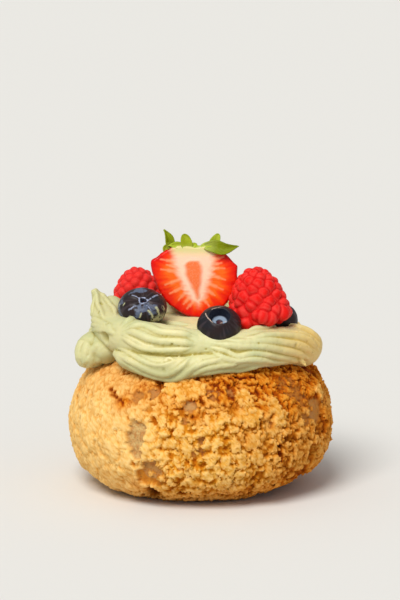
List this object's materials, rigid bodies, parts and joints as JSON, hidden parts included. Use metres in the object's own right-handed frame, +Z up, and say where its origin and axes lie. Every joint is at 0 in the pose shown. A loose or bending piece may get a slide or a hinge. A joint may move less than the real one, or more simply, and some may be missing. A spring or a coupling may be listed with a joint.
{
  "type": "cream puff",
  "caption": "Round craquelin choux bun topped with a piped star-tip ring of pale green tea cream, half a strawberry with its leaves, raspberries and blueberries",
  "frame": {"origin": "Middle of the flat spot under the bun, which is the face it rests on.", "axes": "+Z is up, -Y is the front, the side that the strawberry's cut face and the picture's camera look at, and +X is to the right seen from the front."},
  "size_m": [0.084, 0.0844, 0.0823],
  "materials": {
    "craquelin_crust": "baked crumbly craquelin crust, matte",
    "green_tea_cream": "soft whipped cream, satin",
    "strawberry_flesh": "moist cut fruit, glossy",
    "strawberry_leaf": "leaf, satin",
    "raspberry_skin": "velvety fruit skin",
    "blueberry_skin": "fruit skin with a waxy grey bloom"
  },
  "bodies": {
    "root": {"choux_bun": "craquelin_crust", "cream": "green_tea_cream", "strawberry_half": "strawberry_flesh", "strawberry_cap": "strawberry_leaf", "raspberry_right": "raspberry_skin", "raspberry_left": "raspberry_skin", "blueberry_front": "blueberry_skin", "blueberry_left": "blueberry_skin", "blueberry_right": "blueberry_skin"}
  },
  "joints": []
}
